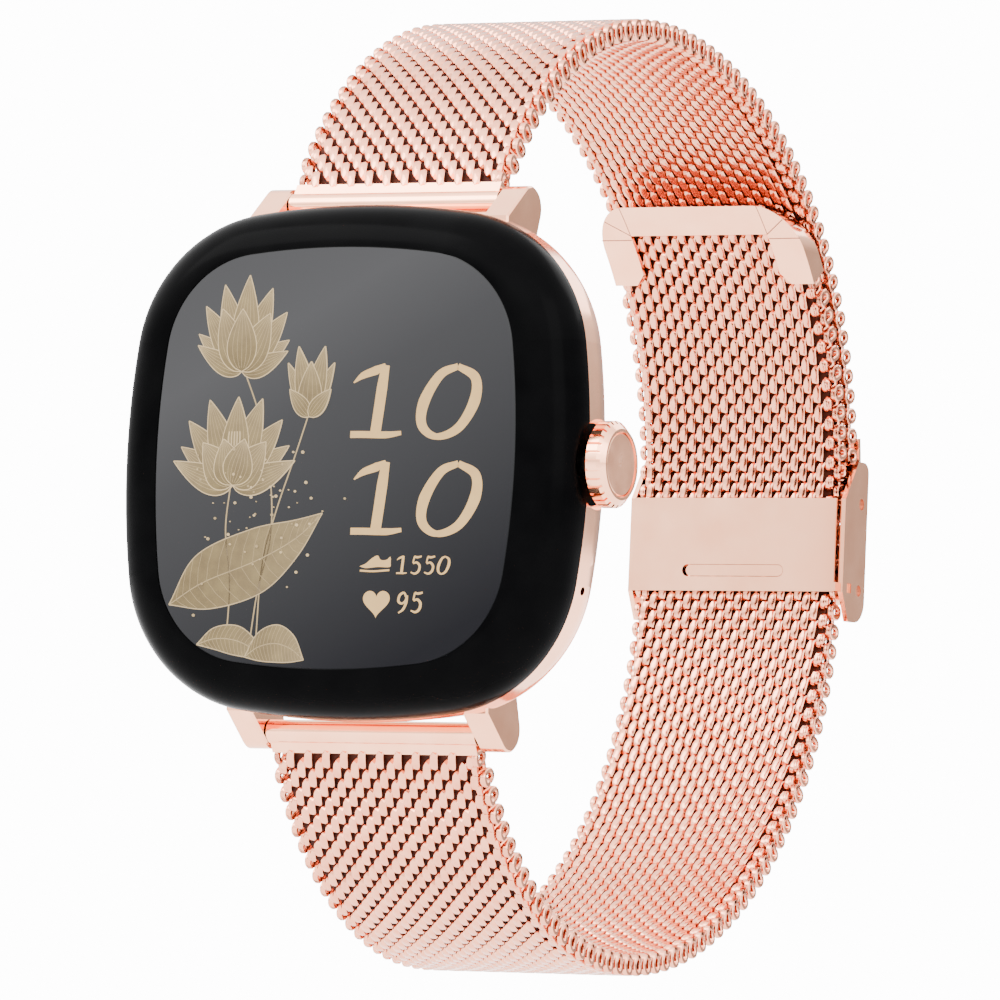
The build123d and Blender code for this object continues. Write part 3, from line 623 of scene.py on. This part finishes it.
turn = np.linspace(0, 2 * math.pi, 48, endpoint=False)
heart = [(4.6 + 1.25 * math.sin(t) ** 3,
          -11.95 + 0.078 * (13 * math.cos(t) - 5 * math.cos(2 * t) - 2 * math.cos(3 * t) - math.cos(4 * t)))
         for t in turn]
numbers.fill(heart[::-1], [1.0] * len(heart))
shoe = curve([(2.9, -9.0), (3.5, -8.75), (4.0, -8.35), (4.55, -8.1), (4.85, -8.45), (5.4, -8.45),
              (5.75, -8.2), (5.8, -8.7), (5.7, -9.05), (4.6, -9.05), (3.5, -9.15), (2.9, -9.0)], 5)[:-1]
numbers.fill([tuple(p) for p in shoe][::-1], [1.0] * len(shoe))
numbers.stroke(curve([(2.95, -9.35), (4.2, -9.4), (5.7, -9.3)]), 0.16)
numbers.make("display_numbers", number_ink)

flowers = Drawing()


def petal(base, angle, length, width, bend, veins=5, tone=(0.10, 0.62)):
    """Pointed petal with an outline and veins, drawn over what is already there."""
    direction = np.array([math.sin(angle), math.cos(angle)])
    across = np.array([direction[1], -direction[0]])
    t = np.linspace(0, 1, 18)
    spine = np.array(base) + np.outer(t * length, direction) + np.outer(bend * t * t * length, across)
    half = width * np.sin(math.pi * t ** 0.72) ** 0.9
    half[-1] = 0
    right_side, left_side = spine + half[:, None] * across, spine - half[:, None] * across
    outline = np.concatenate([left_side, right_side[::-1][1:-1]])
    shade_up = tone[0] + (tone[1] - tone[0]) * t ** 1.6
    shades = np.concatenate([shade_up, shade_up[::-1][1:-1]])
    flowers.fill([tuple(p) for p in outline], list(shades * 0.55))
    flowers.raise_layer(0.0012)
    for u in np.linspace(-0.62, 0.62, veins):
        flowers.stroke(spine[1:-1] + u * half[1:-1, None] * across, 0.035, min(1.0, tone[1] * 0.95))
    flowers.raise_layer(0.0008)
    flowers.stroke(left_side, 0.08, min(1.0, tone[1] + 0.3))
    flowers.stroke(right_side, 0.08, min(1.0, tone[1] + 0.3))
    flowers.raise_layer(0.0010)


def stem(points, width=0.13):
    flowers.stroke(curve(points), width, 0.55)


def broad_leaf(points, other, tone):
    """Leaf between two edges that share their ends, with ribs across."""
    a, b = curve(points), curve(other)
    flowers.fill([tuple(p) for p in a] + [tuple(p) for p in b[::-1][1:-1]],
                 [0.05 + tone * i / len(a) for i in range(len(a))]
                 + [0.05 + tone * i / len(b) for i in reversed(range(1, len(b) - 1))])
    flowers.raise_layer()
    middle = [(a[i] + b[i]) / 2 for i in range(0, len(a), 3)]
    for i in range(3, len(a) - 3, 3):
        m = (a[i] + b[i]) / 2
        flowers.stroke([m, (m + a[min(i + 3, len(a) - 1)]) / 2, a[min(i + 4, len(a) - 1)]], 0.04, 0.5)
        flowers.stroke([m, (m + b[min(i + 3, len(b) - 1)]) / 2, b[min(i + 4, len(b) - 1)]], 0.04, 0.5)
    flowers.stroke(middle, 0.08, 0.6)
    flowers.stroke(a, 0.09, 0.8)
    flowers.stroke(b, 0.09, 0.8)
    flowers.raise_layer()


stem([(-8.9, 7.6), (-7.2, 3.6), (-5.9, -1.5), (-5.6, -6.5), (-6.6, -11.0), (-7.2, -15.6)])
stem([(-2.5, 3.6), (-3.6, 0.2), (-5.2, -4.5), (-6.3, -9.0), (-6.6, -15.6)])
stem([(-9.6, -2.2), (-9.9, -6.0), (-9.3, -10.5), (-9.4, -15.4)])
broad_leaf([(-15.0, -12.3), (-12.6, -8.2), (-7.6, -6.0), (-3.4, -5.2), (-0.8, -4.6)],
           [(-15.0, -12.3), (-11.0, -12.6), (-6.2, -11.2), (-3.0, -8.2), (-0.8, -4.6)], 0.22)
broad_leaf([(-12.2, -15.6), (-10.6, -14.2), (-8.4, -14.0), (-6.8, -15.0), (-5.9, -16.4)],
           [(-12.2, -15.6), (-10.4, -16.0), (-8.8, -16.4), (-7.2, -16.6), (-5.9, -16.4)], 0.2)
broad_leaf([(-7.6, -16.6), (-6.4, -14.6), (-4.6, -13.9), (-3.0, -14.8), (-2.0, -16.8)],
           [(-7.6, -16.6), (-6.2, -16.9), (-4.8, -17.0), (-3.4, -17.0), (-2.0, -16.8)], 0.25)

for angle, length, width, bend in (
    (-62, 5.6, 0.95, 0.10), (62, 5.4, 0.95, -0.10), (-40, 7.0, 1.15, 0.06), (40, 6.8, 1.15, -0.06),
    (-20, 8.0, 1.25, 0.04), (20, 7.9, 1.25, -0.04), (0, 8.6, 1.30, 0.0), (-78, 5.0, 0.9, 0.22),
    (78, 4.8, 0.9, -0.22), (-30, 6.0, 1.35, 0.10), (30, 5.8, 1.35, -0.10), (-6, 5.6, 1.4, 0.03),
):
    petal((-9.0, 7.2), math.radians(angle + 3), length * 0.94, width, bend, 5, (0.12, 0.66))
for angle, length, width, bend in (
    (-70, 6.2, 1.1, 0.16), (70, 6.4, 1.1, -0.16), (-46, 7.2, 1.3, 0.08), (46, 7.3, 1.3, -0.08),
    (-22, 7.8, 1.3, 0.03), (22, 7.9, 1.3, -0.03), (2, 7.6, 1.3, 0.0),
):
    petal((-9.4, -1.9), math.radians(angle), length * 0.92, width, bend, 5, (0.10, 0.62))
for k in range(5):
    stamen = [(-9.9 + 0.25 * k, 1.0), (-9.95 + 0.27 * k, 1.7), (-9.9 + 0.25 * k, 2.2)]
    flowers.stroke(curve(stamen), 0.12, 0.9)
    flowers.raise_layer(0.0005)
for angle, length, width, bend in (
    (-84, 6.2, 1.2, 0.24), (84, 6.3, 1.2, -0.24), (-50, 4.8, 1.5, 0.18), (50, 4.9, 1.5, -0.18),
    (-18, 4.2, 1.4, 0.06), (18, 4.2, 1.4, -0.06),
):
    petal((-9.4, -2.3), math.radians(angle), length * 0.95, width, bend, 6, (0.14, 0.70))
for angle, length, width in ((-26, 5.0, 0.7), (26, 5.0, 0.7), (-12, 6.0, 0.9), (12, 6.0, 0.9), (0, 4.6, 1.1),
                             (-40, 3.0, 0.7), (40, 3.0, 0.7)):
    petal((-2.4, 3.4), math.radians(angle), length, width, 0.0, 4, (0.12, 0.58))

scatter = random.Random(7)
for _ in range(70):
    x, z = scatter.gauss(-6.5, 3.2), scatter.gauss(-4.6, 3.4)
    if abs(x + 6.5) > 8 or abs(z + 4.6) > 9:
        continue
    size = scatter.uniform(0.05, 0.14)
    dot = [(x + size * math.cos(t), z + size * math.sin(t)) for t in turn[::-6]]
    flowers.fill(dot, [scatter.uniform(0.4, 1.0)] * len(dot))
    flowers.raise_layer(0.0002)
flowers.make("display_flowers", flower_ink)

# ---------------------------------------------------------------- stage


def flat_quad(name, corners, mat):
    obj = piece(name, corners, [(0, 1, 2, 3)], mat)
    return obj


floor_mat = finish_material("floor", (0.86, 0.86, 0.87), (0.9, 0.9, 0.9), (0.6, 0.7), scale=5)
floor_corners = [(-3000, -3000, -76), (3000, -3000, -76), (3000, 3000, -76), (-3000, 3000, -76)]
flat_quad("floor", floor_corners, floor_mat)

world = bpy.data.worlds.new("studio")
bpy.context.scene.world = world
world.use_nodes = True
nodes, links = world.node_tree.nodes, world.node_tree.links
nodes.clear()
out = nodes.new("ShaderNodeOutputWorld")
mix = nodes.new("ShaderNodeMixShader")
seen = nodes.new("ShaderNodeBackground")
seen.inputs["Color"].default_value = (1, 1, 1, 1)
seen.inputs["Strength"].default_value = 14.0
soft = nodes.new("ShaderNodeBackground")
ray = nodes.new("ShaderNodeLightPath")
place = nodes.new("ShaderNodeTexCoord")
split = nodes.new("ShaderNodeSeparateXYZ")
links.new(place.outputs["Generated"], split.inputs["Vector"])
ramp = nodes.new("ShaderNodeValToRGB")
height = nodes.new("ShaderNodeMapRange")
height.inputs["From Min"].default_value = -1
height.inputs["From Max"].default_value = 1
links.new(split.outputs["Z"], height.inputs["Value"])
links.new(height.outputs["Result"], ramp.inputs["Fac"])
shape_ramp(ramp, [(0.0, 0.8), (0.30, 1.0), (0.44, 0.45), (0.56, 0.35), (0.72, 1.0), (1.0, 0.9)])
links.new(ramp.outputs["Color"], soft.inputs["Color"])
front = nodes.new("ShaderNodeMapRange")
front.inputs["From Min"].default_value = -1
front.inputs["From Max"].default_value = 1
front.inputs["To Min"].default_value = 8.6
front.inputs["To Max"].default_value = 1.9
links.new(split.outputs["Y"], front.inputs["Value"])
links.new(front.outputs["Result"], soft.inputs["Strength"])
links.new(ray.outputs["Is Camera Ray"], mix.inputs["Fac"])
links.new(soft.outputs["Background"], mix.inputs[1])
links.new(seen.outputs["Background"], mix.inputs[2])
links.new(mix.outputs["Shader"], out.inputs["Surface"])


def area_light(name, place, target, size, power):
    """Soft rectangular light aimed at a point, in millimetres."""
    lamp = bpy.data.lights.new(name, "AREA")
    lamp.shape = "RECTANGLE"
    lamp.size, lamp.size_y = size[0] * MM, size[1] * MM
    lamp.energy = power
    obj = bpy.data.objects.new(name, lamp)
    obj.location = Vector(place) * MM
    aim = Vector(target) * MM - obj.location
    obj.rotation_euler = aim.to_track_quat("-Z", "Y").to_euler()
    bpy.context.scene.collection.objects.link(obj)


area_light("key", (-500, -500, 600), (0, 20, 0), (500, 500), 6)
area_light("fill", (700, -300, 300), (0, 20, 0), (400, 600), 2.5)
area_light("rear", (200, 700, 500), (0, 20, 0), (600, 400), 3)

# ---------------------------------------------------------------- camera

camera_data = bpy.data.cameras.new("camera")
camera_data.lens = 324
camera_data.sensor_width = 36
camera_data.clip_start = 0.01
camera_data.clip_end = 20
camera = bpy.data.objects.new("camera", camera_data)
bpy.context.scene.collection.objects.link(camera)
azimuth, elevation, roll = math.radians(27.5), math.radians(-4.42), math.radians(2.38)
back = Vector((math.sin(azimuth) * math.cos(elevation), -math.cos(azimuth) * math.cos(elevation),
               math.sin(elevation)))
level = Vector((math.cos(azimuth), math.sin(azimuth), 0))
up = back.cross(level)
right = level * math.cos(roll) + up * math.sin(roll)
top = -level * math.sin(roll) + up * math.cos(roll)
target = right * 10.85 * MM - top * 2.94 * MM - Vector((0, 5.2, 0)) * MM
place = target + back * 0.75
turn = Matrix((right, top, back)).transposed().to_4x4()
camera.matrix_world = Matrix.Translation(place) @ turn
bpy.context.scene.camera = camera

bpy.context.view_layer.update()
